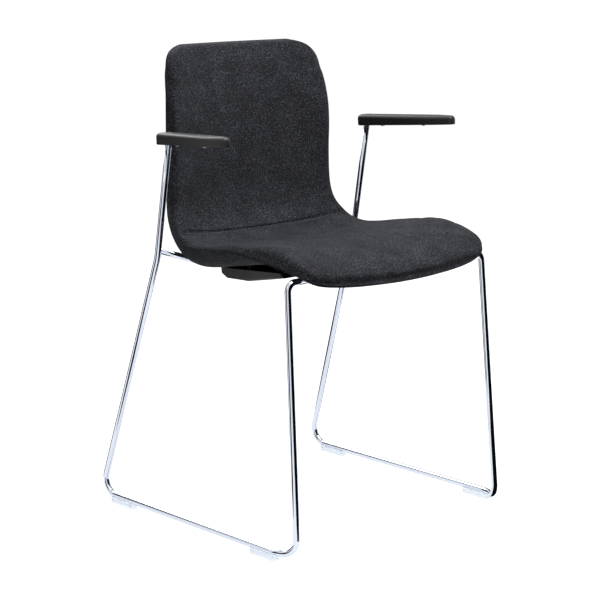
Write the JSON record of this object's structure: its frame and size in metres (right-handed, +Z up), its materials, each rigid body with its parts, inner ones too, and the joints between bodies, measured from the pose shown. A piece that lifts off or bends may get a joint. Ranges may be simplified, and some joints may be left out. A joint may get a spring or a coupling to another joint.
{
  "type": "stacking visitor chair",
  "caption": "Stacking visitor chair: upholstered one-piece seat and back shell on a bent rod sled base with arm pads.",
  "frame": {"origin": "on the floor below the middle of the chair", "axes": "+Z up, the sitter faces -Y, +X is the sitter's left"},
  "size_m": [0.5516, 0.5061, 0.8107],
  "materials": {
    "chrome_rod": "bright chrome plated steel rod",
    "welded_plate": "plated steel plate",
    "moulded_core": "moulded polypropylene",
    "foam": "moulded polyurethane foam",
    "upholstery_fabric": "woven wool, mottled charcoal",
    "brass_insert": "turned brass",
    "zinc_screw": "zinc plated steel",
    "arm_pad_plastic": "fine grained moulded plastic",
    "clear_glide": "clear moulded plastic",
    "tray_plastic": "moulded black plastic"
  },
  "bodies": {
    "root": {"side_frame_left": "chrome_rod", "side_frame_right": "chrome_rod", "front_cross_bar": "chrome_rod", "rear_cross_bar": "chrome_rod", "mount_plate_front_left": "welded_plate", "mount_plate_front_right": "welded_plate", "mount_plate_rear_left": "welded_plate", "mount_plate_rear_right": "welded_plate", "inner_shell": "moulded_core", "seat_foam": "foam", "front_cover": "upholstery_fabric", "rear_foam": "foam", "rear_cover": "upholstery_fabric", "threaded_inserts": "brass_insert", "seat_screws": "zinc_screw", "arm_plate_left": "welded_plate", "arm_plate_right": "welded_plate", "arm_pad_left": "arm_pad_plastic", "arm_pad_right": "arm_pad_plastic", "arm_pad_screws": "zinc_screw", "glide_front_left": "clear_glide", "glide_front_right": "clear_glide", "glide_rear_left": "clear_glide", "glide_rear_right": "clear_glide", "stack_tray": "tray_plastic", "tray_screws": "zinc_screw"}
  },
  "joints": []
}
